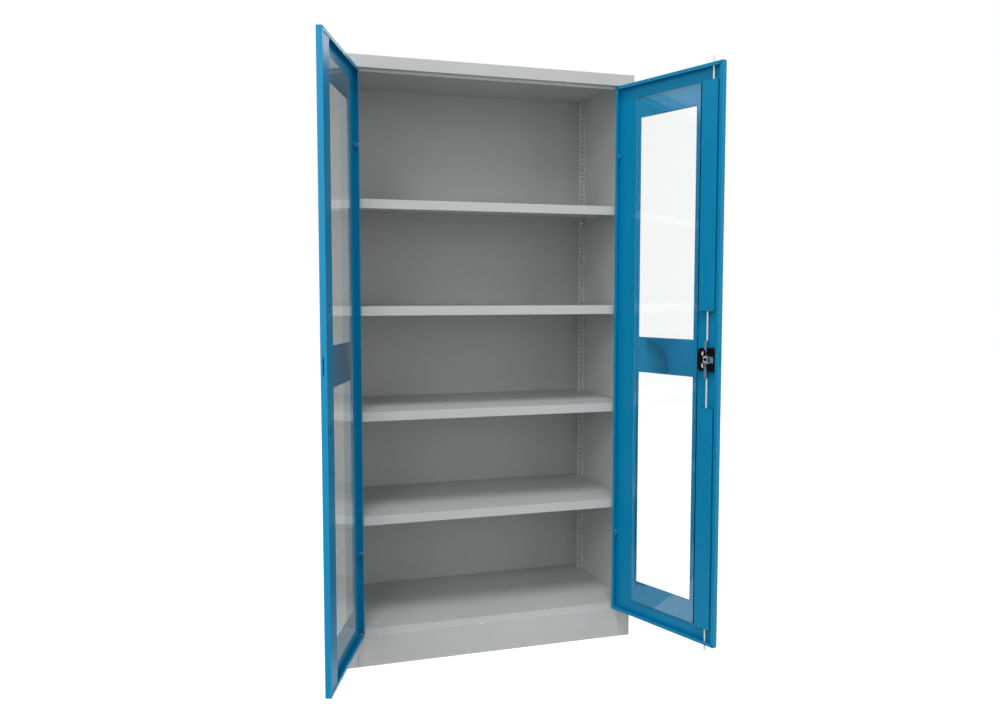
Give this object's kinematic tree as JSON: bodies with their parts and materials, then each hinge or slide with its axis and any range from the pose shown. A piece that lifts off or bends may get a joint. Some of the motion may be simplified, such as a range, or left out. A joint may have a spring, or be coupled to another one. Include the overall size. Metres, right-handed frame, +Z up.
{
  "type": "double-door cabinet",
  "caption": "Tall steel storage cabinet with adjustable shelves and two hinged glazed doors, one carrying a rod lock, shown standing open.",
  "frame": {"origin": "on the floor, under the middle of the cabinet's carcass", "axes": "+Z up, -Y towards the front where the doors open, +X towards the right-hand door"},
  "size_m": [1.2341, 0.9166, 1.95],
  "materials": {
    "carcass_paint": "light grey powder coat, fine texture",
    "door_paint": "blue powder coat, satin",
    "glass": "clear float glass",
    "tape": "foam mounting tape",
    "zinc": "zinc plated",
    "black_steel": "black oxide",
    "rod_coat": "bright galvanised, near white",
    "black_plastic": "moulded, matt",
    "nylon": "white nylon",
    "key_metal": "nickel plated"
  },
  "bodies": {
    "carcass": {"left_side_panel": "carcass_paint", "right_side_panel": "carcass_paint", "back_panel": "carcass_paint", "top_panel": "carcass_paint", "bottom_panel": "carcass_paint", "plinth_front": "carcass_paint", "left_front_rail": "carcass_paint", "left_rear_rail": "carcass_paint", "right_front_rail": "carcass_paint", "right_rear_rail": "carcass_paint", "shelf_1": "carcass_paint", "shelf_2": "carcass_paint", "shelf_3": "carcass_paint", "shelf_4": "carcass_paint", "shelf_stiffener_1": "carcass_paint", "shelf_stiffener_2": "carcass_paint", "shelf_stiffener_3": "carcass_paint", "shelf_stiffener_4": "carcass_paint", "left_upper_hinge_arm": "door_paint", "left_lower_hinge_arm": "door_paint", "right_upper_hinge_arm": "door_paint", "right_lower_hinge_arm": "door_paint", "shelf_clips_1": "zinc", "shelf_clips_2": "zinc", "shelf_clips_3": "zinc", "shelf_clips_4": "zinc", "top_screws": "zinc", "sill_bush": "nylon"},
    "right_door": {"right_door_panel": "door_paint", "right_pane": "glass", "right_glazing_tape": "tape", "right_upper_channel": "door_paint", "right_lower_channel": "door_paint", "right_upper_hinge_leaf": "door_paint", "right_lower_hinge_leaf": "door_paint", "right_hinge_pins": "zinc", "right_leaf_screws": "door_paint", "lock_case": "black_plastic", "lock_cover": "black_plastic", "lock_screws": "black_steel", "handle_plate": "black_plastic"},
    "left_door": {"left_door_panel": "door_paint", "left_pane": "glass", "left_glazing_tape": "tape", "left_channel": "door_paint", "left_upper_hinge_leaf": "door_paint", "left_lower_hinge_leaf": "door_paint", "left_hinge_pins": "zinc", "left_leaf_screws": "door_paint"},
    "handle": {"turn_handle": "black_plastic", "lock_cam": "zinc"},
    "key": {"key_plug": "key_metal"},
    "tongue": {"latch_tongue": "zinc"},
    "upper_rod": {"upper_rod": "rod_coat"},
    "lower_rod": {"lower_rod": "rod_coat"},
    "left_upper_bolt": {"left_upper_bolt": "door_paint"},
    "left_lower_bolt": {"left_lower_bolt": "door_paint"}
  },
  "joints": [
    {"name": "right_door_swing", "type": "hinge", "parent": "carcass", "child": "right_door", "pos_m": [0.4489, -0.2434, 1], "axis": [0, 0, 1], "range_deg": [-110, 5]},
    {"name": "left_door_swing", "type": "hinge", "parent": "carcass", "child": "left_door", "pos_m": [-0.4489, -0.2434, 1], "axis": [0, 0, -1], "range_deg": [-110, 5]},
    {"name": "handle_turn", "type": "hinge", "parent": "right_door", "child": "handle", "pos_m": [0.58482, -0.61683, 1.0054], "axis": [0.9397, 0.342, 0], "range_deg": [0, 90]},
    {"name": "upper_rod_slide", "type": "slide", "parent": "right_door", "child": "upper_rod", "axis": [0, 0, -1], "range_m": [0, 0.02]},
    {"name": "lower_rod_slide", "type": "slide", "parent": "right_door", "child": "lower_rod", "axis": [0, 0, 1], "range_m": [0, 0.02]},
    {"name": "key_turn", "type": "hinge", "parent": "handle", "child": "key", "pos_m": [0.58482, -0.61683, 1.0054], "axis": [0.9397, 0.342, 0], "range_deg": [0, 90]},
    {"name": "tongue_slide", "type": "slide", "parent": "right_door", "child": "tongue", "axis": [0.342, -0.9397, 0], "range_m": [0, 0.012]},
    {"name": "left_upper_bolt_slide", "type": "slide", "parent": "left_door", "child": "left_upper_bolt", "axis": [0, 0, -1], "range_m": [-0.014, 0.006]},
    {"name": "left_lower_bolt_slide", "type": "slide", "parent": "left_door", "child": "left_lower_bolt", "axis": [0, 0, 1], "range_m": [-0.014, 0.006]}
  ],
  "couplings": [
    {"joint": "upper_rod_slide", "follows": "handle_turn", "m_per_rad": 0.01273},
    {"joint": "lower_rod_slide", "follows": "handle_turn", "m_per_rad": 0.01273},
    {"joint": "tongue_slide", "follows": "key_turn", "m_per_rad": 0.007635}
  ]
}
